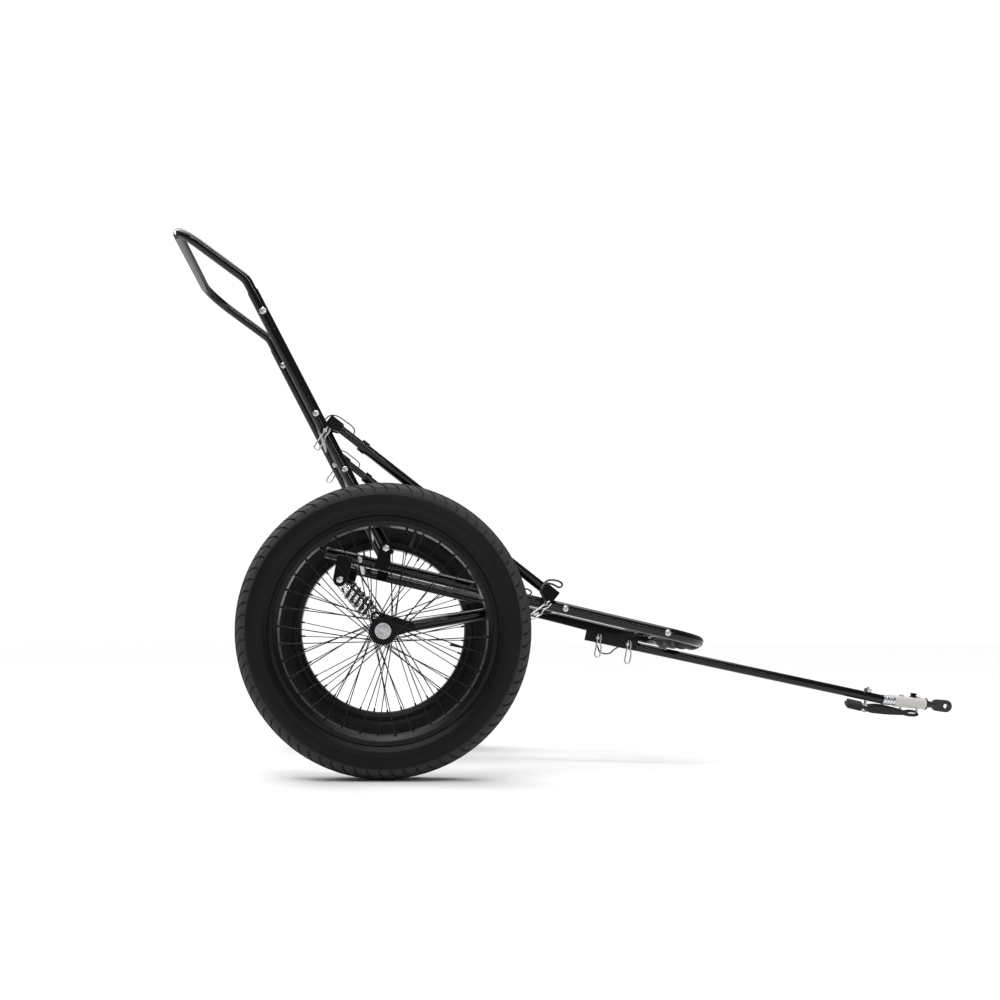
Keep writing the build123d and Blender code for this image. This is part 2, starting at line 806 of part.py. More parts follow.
def make_yoke(pin_along, direction, tube_radius, y):
    # a channel over the brace tube whose two cheeks come down each side of a frame tube
    inner = frame_tube_radius + yoke_gap
    outer = inner + yoke_thickness
    web_low = brace_offset + tube_radius - yoke_weld
    web_high = web_low + yoke_thickness
    start = pin_along - direction * yoke_front
    end = pin_along + direction * yoke_back
    pin = on_brace(pin_along, 0)
    body = []
    for low in (inner, -outer):
        cheek = [on_brace(start, 0), on_brace(end, brace_offset - tube_radius), on_brace(end, web_high)]
        cheek += [on_brace(start, web_high)]
        body.append(upright_plate(cheek, y + low, y + low + yoke_thickness))
        lug = [(pin, yoke_lug_radius), (on_brace(pin_along, yoke_lug_radius), yoke_lug_radius)]
        body.append(round_plate(lug, y + low, y + low + yoke_thickness))
    web = [on_brace(start, web_low), on_brace(end, web_low)]
    web += [on_brace(end, web_high), on_brace(start, web_high)]
    body.append(upright_plate(web, y - outer, y + outer))
    return joined(body)


def make_brace_lower(sign):
    y = sign * deck_half_width
    bore = brace_upper_radius + running_fit
    start = on_brace(tube_setback, brace_offset, y)
    end = on_brace(brace_lower_end, brace_offset, y)
    collar_start = on_brace(brace_lower_end - collar_length / 2, brace_offset, y)
    collar_end = on_brace(brace_lower_end + collar_length / 2, brace_offset, y)
    body = rod(start, end, brace_lower_radius) + rod(collar_start, collar_end, collar_radius)
    body = body + make_yoke(0, 1, brace_lower_radius, y)
    body -= rod(start, collar_end, bore)
    half = 2 * frame_tube_radius
    return body - cross_rod(brace_foot, y - half, y + half, pin_radius)


def make_brace_upper(sign):
    y = sign * deck_half_width
    start = on_brace(brace_lower_end - brace_overlap, brace_offset, y)
    end = on_brace(brace_reach - tube_setback, brace_offset, y)
    tube = pipe(start, end, brace_upper_radius, brace_upper_radius - brace_upper_wall)
    body = tube + make_yoke(brace_reach, -1, brace_upper_radius, y)
    half = 2 * frame_tube_radius
    return body - cross_rod(brace_top, y - half, y + half, pin_radius)


def make_clip(centre, y, wire, pin_r, lean):
    # wire clip: the straight leg goes through the pin, the bowed one wraps its end
    def at(side_step, drop):
        return centre + heading(lean) * drop + upright(lean) * side_step + across * y

    waist = pin_r + wire + clip_waist_gap
    bow = pin_r + wire + clip_bow_gap
    points = [at(0, -pin_r - clip_tip), at(0, clip_length), at(clip_width, clip_length)]
    points += [at(clip_width, clip_flare_at), at(waist, clip_waist_at)]
    points += [at(bow, 0), at(pin_r + wire, -pin_r - clip_tip)]
    return bent_rod(points, [clip_bend, clip_bend, clip_bow_bend, clip_bow_bend, clip_bow_bend], wire)


def clevis_pin(centre, y, half, radius, head_radius, lean):
    # head on the inner side, clip through the outer end
    outer = 1 if y >= 0 else -1
    if y == 0:
        outer = -1
    shank = cross_rod(centre, y - outer * half, y + outer * (half + pin_tail), radius)
    head = cross_rod(centre, y - outer * (half + pin_head_height), y - outer * half, head_radius)
    clip = make_clip(centre, y + outer * (half + pin_tail * clip_share), clip_wire, radius, lean)
    return [shank + head - clip, clip]


def make_brace_pin(centre, sign, lean):
    return group(clevis_pin(centre, sign * deck_half_width, yoke_face, pin_radius, pin_head_radius, lean))


def make_upper_lanyard(sign):
    # from the brace tube over the yoke and down to the pin's inner head
    y = sign * deck_half_width
    head = yoke_face + pin_head_height
    route = [
        (-45, brace_offset + brace_upper_radius + cord_end_gap, 0), (-44, brace_offset + 16, 0),
        (-32, brace_offset + 18.5, 0), (-17, brace_offset + 18, 2), (-2, brace_offset + 18, 5),
        (12, brace_offset + 13.5, 10), (19, brace_offset + 2, 15), (17, 8, head + lanyard_exit),
        (3, 3, head + lanyard_exit), (3, 3, head),
    ]
    points = [on_brace(brace_reach + along, rise, y - sign * inward) for along, rise, inward in route]
    return cord_tube("upper lanyard", points, lanyard_radius)


def make_lower_lanyard(sign):
    # a narrow loop off the brace tube's top, then down outboard of it to the pin's outer end
    y = sign * deck_half_width
    tail = yoke_face + pin_tail
    route = [
        (25, brace_offset + brace_lower_radius + cord_end_gap, 0), (25, brace_offset + 17.5, 0),
        (8, brace_offset + 29.5, 1), (-5, brace_offset + 29.5, 3), (-4, brace_offset + 18.5, 6),
        (12, brace_offset + 16.5, 12), (27, brace_offset + 7.5, 20), (24, 10, tail + lanyard_exit),
        (0, 0, tail + lanyard_exit), (0, 0, tail),
    ]
    points = [on_brace(along, rise, y + sign * outward) for along, rise, outward in route]
    return cord_tube("lower lanyard", points, lower_lanyard_radius)


# ---- tongue
def on_tongue(along, rise=0.0, y=0.0):
    return tongue_pin + tongue_heading * along + tongue_normal * rise + across * y


def make_receiver():
    # an inverted channel: two cheeks from the crossbars and a web over the tongue
    rear = deck_crossbar_at[1] - receiver_foot_margin
    front = deck_crossbar_at[2] + receiver_foot_margin
    end = receiver_start + receiver_length
    web_low = receiver_top - receiver_wall
    outline = [on_deck(rear, -receiver_foot_sink), on_deck(front, -receiver_foot_sink)]
    outline += [on_deck(front, -receiver_foot_depth), on_tongue(end, receiver_top)]
    outline += [on_tongue(end, -tongue_radius), on_tongue(receiver_start, -tongue_radius)]
    outline += [on_tongue(receiver_start, web_low), on_deck(rear, -receiver_foot_depth)]
    cheeks = []
    for low in (receiver_bore_half, -receiver_half_width):
        cheeks.append(upright_plate(outline, low, low + receiver_wall))
    corners = [on_tongue(receiver_start, web_low), on_tongue(end, web_low)]
    corners += [on_tongue(end, receiver_top), on_tongue(receiver_start, receiver_top)]
    receiver = joined(cheeks + [upright_plate(corners, -receiver_half_width, receiver_half_width)])
    for along in deck_crossbar_at[1:]:
        receiver -= cross_rod(on_deck(along), -receiver_half_width, receiver_half_width, crossbar_radius)
    return tongue_pin_holes(receiver)


def tongue_pin_holes(shape):
    for along in tongue_pin_at:
        shape -= cross_rod(on_tongue(along), -receiver_half_width, receiver_half_width, tongue_pin_radius)
    return shape


def make_tongue_tube():
    tube = pipe(on_tongue(-tongue_tail), tongue_end, tongue_radius, tongue_radius - tongue_wall)
    return tongue_pin_holes(tube) - eye_bolt_shank()


def make_tongue_pins():
    half = receiver_half_width
    parts = []
    for along in tongue_pin_at:
        centre = on_tongue(along)
        lean = clip_lean["tongue"]
        parts += clevis_pin(centre, 0, half, tongue_pin_radius, tongue_pin_head_radius, lean)
    return group(parts)


def make_tongue_lanyard():
    # hangs in a loop between the two pin heads on the receiver's left
    head = receiver_half_width + pin_head_height
    out = head + lanyard_exit
    first, second = tongue_pin_at
    route = [
        (first, -1, head), (first, -1, out), (first + 11, -16, out), (first + 17, -29, out - 3),
        (first + 38, -28, out - 5), (first + 47, -14, out), (second, -1, out), (second, -1, head),
    ]
    points = [on_tongue(along, rise, y) for along, rise, y in route]
    return cord_tube("tongue lanyard", points, tongue_lanyard_radius)


def eye_bolt_shank():
    high = on_tongue(eye_bolt_at, tongue_radius + eye_nut_height + eye_bolt_tail)
    low = on_tongue(eye_bolt_at, -tongue_radius - eye_drop + eye_ring_radius)
    return rod(low, high, eye_bolt_radius)


def make_eye_bolt():
    centre = on_tongue(eye_bolt_at, -tongue_radius - eye_drop)
    ring = Plane(origin=centre, x_dir=tongue_heading, z_dir=across) * Torus(eye_ring_radius, eye_ring_wire)
    high = on_tongue(eye_bolt_at, tongue_radius)
    hexagon = Plane(origin=high, z_dir=tongue_normal) * RegularPolygon(eye_nut_radius, 6)
    nut = extrude(hexagon, amount=eye_nut_height)
    reach = 2 * eye_nut_radius
    saddle = nut - rod(on_tongue(eye_bolt_at - reach), on_tongue(eye_bolt_at + reach), tongue_radius)
    return group([eye_bolt_shank() + ring, saddle - eye_bolt_shank()])


def make_stub():
    start = tongue_end - tongue_heading * stub_insert
    insert = rod(start, tongue_end, tongue_radius - tongue_wall)
    knuckle = rod(tongue_end - coupler_heading * stub_lap, coupler_start, stub_radius)
    knuckle -= rod(start, tongue_end, 2 * stub_radius)
    pitch = stub_length / (stub_groove_count + 1)
    for index in range(stub_groove_count):
        middle = tongue_end + coupler_heading * (pitch * (index + 1))
        band_start = middle - coupler_heading * stub_groove
        band_end = middle + coupler_heading * stub_groove
        knuckle -= pipe(band_start, band_end, 2 * stub_radius, stub_radius - stub_groove)
    spigot = rod(coupler_start, coupler_start + coupler_heading * spigot_length, spigot_radius)
    body = joined([knuckle, insert, spigot])
    return body - coupler_pin_shank(coupler_pin_inset) - eye_bolt_shank()


def coupler_pin_shank(along, radius=coupler_pin_radius):
    centre = coupler_start + coupler_heading * along
    low = centre - coupler_normal * (sleeve_radius + cotter_tail)
    return rod(low, centre + coupler_normal * sleeve_radius, radius)


def make_coupler_pin(along, head_gap):
    centre = coupler_start + coupler_heading * along
    top = centre + coupler_normal * (sleeve_radius - coupler_pin_sink)
    head = rod(top, top + coupler_normal * coupler_pin_head_height, coupler_pin_head_radius)
    tail = centre - coupler_normal * (sleeve_radius + cotter_tail - coupler_pin_radius)
    sleeve = rod(coupler_start, coupler_face, sleeve_radius + head_gap)
    cotter = rod(tail - across * cotter_half, tail + across * cotter_half, cotter_radius)
    pin = joined([coupler_pin_shank(along), head - sleeve])
    return group([pin - cotter, cotter])


def make_sleeve():
    # tight on the rear stub and its pin, a running fit on the swivel's end
    end = coupler_face - coupler_heading * running_fit
    body = pipe(coupler_start, end, sleeve_radius, spigot_radius)
    body -= rod(coupler_bend, end, spigot_radius + running_fit)
    body -= coupler_pin_shank(coupler_pin_inset)
    return body - coupler_pin_shank(sleeve_length - coupler_pin_inset, coupler_pin_radius + running_fit)


def make_swivel_socket():
    bore = neck_shaft_radius + running_fit
    back = coupler_face - coupler_heading * spigot_length
    washer_end = coupler_face + coupler_heading * socket_washer_thickness
    body = rod(back, coupler_face, spigot_radius) + rod(coupler_face, washer_end, socket_washer_radius)
    chamber = coupler_face - coupler_heading * (neck_shaft_length + neck_shaft_chamber)
    body -= rod(chamber, washer_end, bore)
    return body - coupler_pin_shank(sleeve_length - coupler_pin_inset)


def make_hitch_tab():
    neck_start = coupler_face + coupler_heading * (socket_washer_thickness + end_gap)
    neck_end = neck_start + coupler_heading * neck_length
    # the swivel shaft stops short of the cross pin
    shaft = rod(coupler_face - coupler_heading * neck_shaft_length, neck_start, neck_shaft_radius)
    neck = rod(neck_start, neck_end, neck_radius)
    half = tab_thickness / 2
    shoulder = neck_end + coupler_heading * tab_shoulder
    outline = [(neck_end, neck_radius), (shoulder, tab_shoulder_radius), (hitch_hole, tab_radius)]
    tab = round_plate(outline, -half, half)
    ring_start = neck_start + coupler_heading * (neck_length / 3)
    ring = rod(ring_start, ring_start + coupler_heading * neck_ring_width, neck_ring_radius)
    body = joined([shaft, neck, ring, tab])
    return body - cross_rod(hitch_hole, -half, half, hitch_hole_radius)


def make_strap():
    # a folded safety strap: laps under the tongue, then a tail below the coupler, as (ahead, up)
    ring_centre = on_tongue(eye_bolt_at, -tongue_radius - eye_drop)
    corners = [ring_centre + Vector(ahead, 0, rise) for ahead, rise in strap_outline]
    body = upright_plate(corners, -strap_half_width, strap_half_width)
    ring = Plane(origin=ring_centre, x_dir=tongue_heading, z_dir=across)
    return body - ring * Torus(eye_ring_radius, eye_ring_wire + side_gap)


# ---- whole object
nodes = {}
for side, sign in sides:
    offset = sign * wheel_offset
    phase = valve_angle[side]
    nodes[side + "_tyre"] = moved_across(make_tyre(), offset)
    nodes[side + "_inner_tube"] = moved_across(make_inner_tube(phase), offset)
    nodes[side + "_rim"] = moved_across(make_rim(phase), offset)
    nodes[side + "_hub"] = moved_across(make_hub(), offset)
    nodes[side + "_spokes"] = moved_across(make_spokes(phase), offset)
    nodes[side + "_bearings"] = moved_across(make_bearings(), offset)
    nodes[side + "_axle"] = make_axle(sign)
    nodes[side + "_swing_arm"] = make_arm(sign)
    nodes[side + "_shock_body"] = make_shock_body(sign)
    nodes[side + "_shock_rod"] = make_shock_rod(sign)
    nodes[side + "_shock_spring"] = make_spring(sign)
    nodes[side + "_shock_bolt"] = headed_bolt(
        shock_foot, sign * deck_half_width, arm_half_thickness + dropout_thickness,
        bolt_radius, bolt_head_radius, bolt_head_height)
    nodes[side + "_back_tube"] = make_back_tube(sign)
    nodes[side + "_brace_lower"] = make_brace_lower(sign)
    nodes[side + "_brace_upper"] = make_brace_upper(sign)
    nodes[side + "_brace_lower_pin"] = make_brace_pin(brace_foot, sign, clip_lean["foot"])
    nodes[side + "_brace_upper_pin"] = make_brace_pin(brace_top, sign, clip_lean["top"])
    nodes[side + "_lower_lanyard"] = make_lower_lanyard(sign)
    nodes[side + "_upper_lanyard"] = make_upper_lanyard(sign)
nodes["deck_frame"] = make_deck_frame()
nodes["deck_crossbars"] = make_deck_crossbars()
nodes["deck_fasteners"] = make_deck_fasteners()
nodes["deck_brackets"] = make_deck_brackets()
nodes["rail_plugs"] = make_rail_plugs()
nodes["front_grip"] = make_front_grip()
nodes["back_crossbars"] = make_back_crossbars()
nodes["back_fasteners"] = make_back_fasteners()
nodes["handle"] = make_handle()
nodes["tongue_receiver"] = make_receiver()
nodes["tongue_tube"] = make_tongue_tube()
nodes["tongue_pins"] = make_tongue_pins()
nodes["tongue_lanyard"] = make_tongue_lanyard()
nodes["eye_bolt"] = make_eye_bolt()
nodes["safety_strap"] = make_strap()
nodes["coupler_stub"] = make_stub()
nodes["coupler_sleeve"] = make_sleeve()
nodes["coupler_rear_pin"] = make_coupler_pin(coupler_pin_inset, 0)
nodes["coupler_front_pin"] = make_coupler_pin(sleeve_length - coupler_pin_inset, running_fit)
nodes["swivel_socket"] = make_swivel_socket()
nodes["hitch_tab"] = make_hitch_tab()

# mid-length of the whole object, so that X = 0 is under its middle
rear_end = nodes["handle"].bounding_box().min.X
front_end = nodes["hitch_tab"].bounding_box().max.X
row_shift = -(rear_end + front_end) / 2


def placed(shape):
    solids = [Pos(row_shift, 0, 0) * part for part in shape.solids()]
    return solids[0] if len(solids) == 1 else Compound(solids)


os.makedirs("parts", exist_ok=True)
for name, shape in nodes.items():
    export_step(placed(shape), "parts/" + name + ".step")
print("nodes", len(nodes), "length", round(front_end - rear_end, 1), "shift", round(row_shift, 2))
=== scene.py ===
# Two-wheel fat-tyre trailer frame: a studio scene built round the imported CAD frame.
import bpy
import json
from math import atan2, cos, hypot, pi, radians, sin
from mathutils import Matrix, Vector


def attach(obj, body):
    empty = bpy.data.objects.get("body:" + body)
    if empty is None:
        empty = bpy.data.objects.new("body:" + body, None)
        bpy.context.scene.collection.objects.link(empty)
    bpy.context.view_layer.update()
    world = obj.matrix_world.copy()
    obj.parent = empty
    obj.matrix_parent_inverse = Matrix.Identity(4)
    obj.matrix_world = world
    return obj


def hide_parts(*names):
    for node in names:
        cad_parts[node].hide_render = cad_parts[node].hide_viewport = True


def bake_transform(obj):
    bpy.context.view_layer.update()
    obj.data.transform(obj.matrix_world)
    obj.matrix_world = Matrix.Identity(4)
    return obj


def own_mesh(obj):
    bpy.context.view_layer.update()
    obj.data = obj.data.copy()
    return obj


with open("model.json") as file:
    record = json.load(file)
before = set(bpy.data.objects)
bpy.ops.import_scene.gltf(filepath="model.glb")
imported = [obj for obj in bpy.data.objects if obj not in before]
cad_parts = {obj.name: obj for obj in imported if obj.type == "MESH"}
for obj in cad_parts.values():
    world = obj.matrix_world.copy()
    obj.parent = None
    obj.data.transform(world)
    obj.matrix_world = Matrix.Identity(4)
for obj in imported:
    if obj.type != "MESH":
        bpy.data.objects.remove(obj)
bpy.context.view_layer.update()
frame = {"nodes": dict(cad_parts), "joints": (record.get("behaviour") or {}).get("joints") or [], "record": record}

nodes = frame["nodes"]
joints = {joint["name"]: joint for joint in frame["joints"]}
sides = {"right": -1, "left": 1}  # the near side of the picture is the trailer's right


def jointPoint(name):
    return Vector(joints[name]["pos_m"])


print("frame loaded")

# ---- camera
camera = {"place": (-0.39791, -2.5, 0.277), "lens": 42.2, "shift": (0.117, 0.131)}
cameraData = bpy.data.cameras.new("camera")
cameraData.lens = camera["lens"]
cameraData.shift_x, cameraData.shift_y = camera["shift"]
cameraObject = bpy.data.objects.new("camera", cameraData)
cameraObject.location = camera["place"]
cameraObject.rotation_euler = (radians(90), 0, 0)
bpy.context.collection.objects.link(cameraObject)
bpy.context.scene.camera = cameraObject


# ---- small helpers for materials
def hexColor(code):
    # an sRGB code as linear colour
    values = [int(code[i:i + 2], 16) / 255 for i in (0, 2, 4)]
    return [v / 12.92 if v <= 0.04045 else ((v + 0.055) / 1.055) ** 2.4 for v in values] + [1]


def addNode(material, kind, settings=None, links=None):
    # settings name a property or an input socket, links name the input each (node, output) feeds
    node = material.node_tree.nodes.new(kind)
    for name, value in (settings or {}).items():
        if isinstance(name, str) and hasattr(node, name):
            setattr(node, name, value)
        else:
            node.inputs[name].default_value = value
    for name, (source, output) in (links or {}).items():
        material.node_tree.links.new(source.outputs[output], node.inputs[name])
    return node


def newMaterial(name, settings):
    material = bpy.data.materials.new(name)
    material.use_nodes = True
    shader = material.node_tree.nodes["Principled BSDF"]
    for socket, value in settings.items():
        shader.inputs[socket].default_value = value
    return material, shader


def perMetre(millimetres):
    return 1000 / millimetres  # a noise scale whose blobs are about that many millimetres


def objectPlace(material):
    return addNode(material, "ShaderNodeTexCoord"), "Object"


def dress(material, shader, tint, gloss, relief):
    links = material.node_tree.links
    links.new(tint.outputs[2], shader.inputs["Base Color"])
    links.new(gloss.outputs[0], shader.inputs["Roughness"])
    links.new(relief.outputs[0], shader.inputs["Normal"])


def clouded(name, settings, size, colors, roughness, bump, detail=3):
    # cloudy colour and roughness of one blob size in mm, and a fine bump of another
    material, shader = newMaterial(name, settings)
    place = objectPlace(material)
    cloud = addNode(material, "ShaderNodeTexNoise", {"Scale": perMetre(size[0]), "Detail": detail},
                    {"Vector": place})
    tint = addNode(material, "ShaderNodeMix",
                   {"data_type": "RGBA", 6: hexColor(colors[0]), 7: hexColor(colors[1])}, {0: (cloud, "Fac")})
    gloss = addNode(material, "ShaderNodeMapRange",
                    {"From Min": 0.3, "From Max": 0.7, "To Min": roughness[0], "To Max": roughness[1]},
                    {"Value": (cloud, "Fac")})
    grain = addNode(material, "ShaderNodeTexNoise", {"Scale": perMetre(size[1]), "Detail": 2},
                    {"Vector": place})
    relief = addNode(material, "ShaderNodeBump", {"Strength": bump[0], "Distance": bump[1]},
                     {"Height": (grain, "Fac")})
    dress(material, shader, tint, gloss, relief)
    return material


# ---- finishes
# polyester powder coat on steel tube: deep black with sharp highlights
# its orange peel is 1 to 2 mm across, too fine to show here, so it is drawn as faint 9 mm swells
powderCoat = clouded("gloss black powder coat",
                     {"IOR": 1.45, "Specular IOR Level": 0.34, "Coat Weight": 0.14, "Coat Roughness": 0.05},
                     size=(90, 9), colors=("020202", "030303"),
                     roughness=(0.13, 0.15), bump=(0.01, 0.00003), detail=1)

# black anodised and painted alloy: satin, a shade flatter than the frame
wheelPaint = clouded("satin black wheel paint",
                     {"IOR": 1.45, "Specular IOR Level": 0.22, "Coat Weight": 0.04, "Coat Roughness": 0.12},
                     size=(40, 1.2), colors=("030303", "060606"),
                     roughness=(0.3, 0.4), bump=(0.05, 0.0001))

# zinc plate on turned steel: bright grey-blue metal, lightly clouded
zincPlate = clouded("bright zinc plate", {"Metallic": 1},
                    size=(9, 0.6), colors=("b9bdc2", "d6d8da"),
                    roughness=(0.2, 0.36), bump=(0.12, 0.00008))

# chrome plate on the ground damper rod and its seats: near mirror
chromePlate = clouded("chrome plate", {"Metallic": 1},
                      size=(14, 0.8), colors=("cfd1d4", "e2e3e5"),
                      roughness=(0.07, 0.14), bump=(0.03, 0.00005))

# black enamelled spring wire
springEnamel = clouded("black spring enamel", {"IOR": 1.5, "Coat Weight": 0.4, "Coat Roughness": 0.1},
                       size=(12, 0.7), colors=("08080a", "0d0d0f"),
                       roughness=(0.2, 0.3), bump=(0.1, 0.0001))

# satin black coating on the cast hitch end
hitchPaint = clouded("satin black hitch coating", {"IOR": 1.5, "Coat Weight": 0.1, "Coat Roughness": 0.3},
                     size=(12, 0.8), colors=("0d0e0f", "151618"),
                     roughness=(0.34, 0.46), bump=(0.2, 0.0002))

# off-white thermoplastic elastomer: satin with a spark-eroded grain
sleevePolymer = clouded("moulded off-white elastomer",
                        {"IOR": 1.48, "Subsurface Weight": 0.06, "Subsurface Scale": 0.003},
                        size=(8, 0.9), colors=("b2afaa", "c6c3be"),
                        roughness=(0.5, 0.66), bump=(0.4, 0.0003))

# moulded polyethylene plugs in the rail ends
plugPlastic = clouded("moulded black polyethylene", {"IOR": 1.5},
                      size=(10, 0.6), colors=("0c0c0d", "131314"),
                      roughness=(0.42, 0.55), bump=(0.2, 0.0001))

# butyl inner tube and valve rubber
butylRubber = clouded("butyl rubber", {"IOR": 1.5},
                      size=(15, 1), colors=("101011", "171718"),
                      roughness=(0.55, 0.7), bump=(0.2, 0.0001))

# ribbed thermoplastic rubber on the front bar: dull, finely pebbled
gripRubber = clouded("pebbled grip rubber", {"IOR": 1.5, "Specular IOR Level": 0.1},
                     size=(14, 0.9), colors=("040404", "080808"),
                     roughness=(0.5, 0.62), bump=(0.25, 0.0003))

# wire rope in a black vinyl jacket: half matt, faintly uneven
cableJacket = clouded("vinyl-coated wire rope", {"IOR": 1.5, "Coat Weight": 0.2, "Coat Roughness": 0.2},
                      size=(10, 0.8), colors=("0a0a0a", "121213"),
                      roughness=(0.3, 0.42), bump=(0.25, 0.0002))

# woven polypropylene webbing: ribs and yarns drawn as crossed waves 1.6 mm apart, coarser than the real yarn
webbing, shader = newMaterial("woven polypropylene webbing", {"IOR": 1.5, "Sheen Weight": 0.3,
                                                              "Sheen Roughness": 0.4, "Roughness": 0.78})
place = objectPlace(webbing)
waves = {"Scale": perMetre(1.6) / 3.14, "Distortion": 0.6}
ribs = addNode(webbing, "ShaderNodeTexWave", {**waves, "bands_direction": "X"}, {"Vector": place})
yarns = addNode(webbing, "ShaderNodeTexWave", {**waves, "bands_direction": "DIAGONAL"}, {"Vector": place})
weave = addNode(webbing, "ShaderNodeMath", {"operation": "MULTIPLY"}, {0: (ribs, "Fac"), 1: (yarns, "Fac")})
tint = addNode(webbing, "ShaderNodeMix", {"data_type": "RGBA", 6: hexColor("08080a"), 7: hexColor("1f1f22")},
               {0: (weave, 0)})
relief = addNode(webbing, "ShaderNodeBump", {"Strength": 0.7, "Distance": 0.0004}, {"Height": (weave, 0)})
webbing.node_tree.links.new(tint.outputs[2], shader.inputs["Base Color"])
webbing.node_tree.links.new(relief.outputs[0], shader.inputs["Normal"])


rubber = {"treadFrom": 0.251, "treadTo": 0.257, "ringSpacing": 0.0062, "ringDepth": 0.12, "grain": 1.4,
          "dust": 35}


def tyreRubber(side):
    # carbon-black tyre rubber: dusty grained tread, smoother darker sidewall with faint mould rings
    material, shader = newMaterial("moulded tyre rubber " + side, {"IOR": 1.45, "Specular IOR Level": 0.16})
    hub = jointPoint(side + "_wheel_spin")
    place = objectPlace(material)
    centred = addNode(material, "ShaderNodeVectorMath", {"operation": "SUBTRACT", 1: hub}, {0: place})
    flat = addNode(material, "ShaderNodeVectorMath", {"operation": "MULTIPLY", 1: (1, 0, 1)},
                   {0: (centred, 0)})
    radius = addNode(material, "ShaderNodeVectorMath", {"operation": "LENGTH"}, {0: (flat, 0)})
    band = addNode(material, "ShaderNodeMapRange",
                   {"From Min": rubber["treadFrom"], "From Max": rubber["treadTo"],
                    "interpolation_type": "SMOOTHSTEP"}, {"Value": (radius, "Value")})
    angle = addNode(material, "ShaderNodeMath", {"operation": "MULTIPLY", 1: 2 * pi / rubber["ringSpacing"]},
                    {0: (radius, "Value")})
    rings = addNode(material, "ShaderNodeMath", {"operation": "SINE"}, {0: (angle, 0)})
    grain = addNode(material, "ShaderNodeTexNoise", {"Scale": perMetre(rubber["grain"]), "Detail": 4},
                    {"Vector": place})
    dust = addNode(material, "ShaderNodeTexNoise", {"Scale": perMetre(rubber["dust"]), "Detail": 3},
                   {"Vector": place})
    wall = addNode(material, "ShaderNodeMix",
                   {"data_type": "RGBA", 6: hexColor("0a0a0b"), 7: hexColor("111112")}, {0: (dust, "Fac")})
    tread = addNode(material, "ShaderNodeMix",
                    {"data_type": "RGBA", 6: hexColor("202020"), 7: hexColor("3f3f3f")}, {0: (grain, "Fac")})
    tint = addNode(material, "ShaderNodeMix", {"data_type": "RGBA"},
                   {0: (band, 0), 6: (wall, 2), 7: (tread, 2)})
    gloss = addNode(material, "ShaderNodeMapRange", {"To Min": 0.42, "To Max": 0.72}, {"Value": (band, 0)})
    grainDepth = addNode(material, "ShaderNodeMath", {"operation": "MULTIPLY"},
                         {0: (grain, "Fac"), 1: (band, 0)})
    depth = addNode(material, "ShaderNodeMath", {"operation": "MULTIPLY_ADD", 1: rubber["ringDepth"]},
                    {0: (rings, 0), 2: (grainDepth, 0)})
    relief = addNode(material, "ShaderNodeBump", {"Strength": 0.45, "Distance": 0.0006},
                     {"Height": (depth, 0)})
    dress(material, shader, tint, gloss, relief)
    return material


print("materials made")

# ---- retaining cords: wire rope loops that keep each pin on the frame
braceReach = 0.53842
tongue = {"along": 0.05699, "rise": 0.2621, "pitch": radians(12.14)}  # its rear pin, and its fall forward


def onBrace(side, along, rise, out):
    foot = jointPoint(side + "_brace_swing")
    heading = Vector(joints[side + "_brace_extend"]["axis"])
    across = Vector((heading.z, 0, -heading.x))
    return foot + heading * along + across * rise + Vector((0, -sides[side] * out, 0))


def onTongue(along, rise, y):
    pitch = tongue["pitch"]
    return (Vector((tongue["along"], y, tongue["rise"])) + Vector((cos(pitch), 0, -sin(pitch))) * along
            + Vector((sin(pitch), 0, cos(pitch))) * rise)


lowerCord = {"diameter": 0.0038, "length": 0.1368, "route": [
    (0.025, 0.0321, 0), (0.025, 0.040, 0), (0.008, 0.052, -0.001), (-0.005, 0.052, -0.003),
    (-0.004, 0.041, -0.006), (0.012, 0.039, -0.012), (0.027, 0.030, -0.020), (0.024, 0.010, -0.0295),
    (0, 0, -0.0295), (0, 0, -0.0205)]}
upperCord = {"diameter": 0.0024, "length": 0.1189, "route": [
    (-0.045, 0.0306, 0), (-0.044, 0.0385, 0), (-0.032, 0.041, 0), (-0.017, 0.0405, 0.002),
    (-0.002, 0.0405, 0.005), (0.012, 0.036, 0.010), (0.019, 0.0245, 0.015), (0.017, 0.008, 0.026),
    (0.003, 0.003, 0.026), (0.003, 0.003, 0.017)]}
tongueCord = {"diameter": 0.0032, "length": 0.105, "route": [
    (0, -0.001, 0.0155), (0, -0.001, 0.0245), (0.011, -0.016, 0.0245), (0.017, -0.029, 0.0215),
    (0.038, -0.028, 0.0195), (0.047, -0.014, 0.0245), (0.0648, -0.001, 0.0245), (0.0648, -0.001, 0.0155)]}


def makeCord(name, points, cord, body, node):
    curve = bpy.data.curves.new(name, "CURVE")
    curve.dimensions = "3D"
    spline = curve.splines.new("NURBS")
    spline.points.add(len(points) - 1)
    for point, place in zip(spline.points, points):
        point.co = (*place, 1)
    spline.order_u = 3
    spline.use_endpoint_u = True
    curve.resolution_u = 10
    curve.bevel_depth = cord["diameter"] / 2
    curve.bevel_resolution = 4
    curve.use_fill_caps = True
    curve.materials.append(cableJacket)
    loop = bpy.data.objects.new(name, curve)
    bpy.context.collection.objects.link(loop)
    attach(loop, body)
    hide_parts(node)


for side in sides:
    lower = [onBrace(side, *p) for p in lowerCord["route"]]
    makeCord(side + "LowerCord", lower, lowerCord, side + "_brace_outer", side + "_lower_lanyard")
    upper = [onBrace(side, braceReach + along, rise, out) for along, rise, out in upperCord["route"]]
    makeCord(side + "UpperCord", upper, upperCord, side + "_brace_inner", side + "_upper_lanyard")
hanging = [onTongue(*p) for p in tongueCord["route"]]
makeCord("tongueCord", hanging, tongueCord, "trailer_frame", "tongue_lanyard")
print("cords laid")


# ---- modelling helpers
def deselectAll():
    bpy.ops.object.select_all(action="DESELECT")


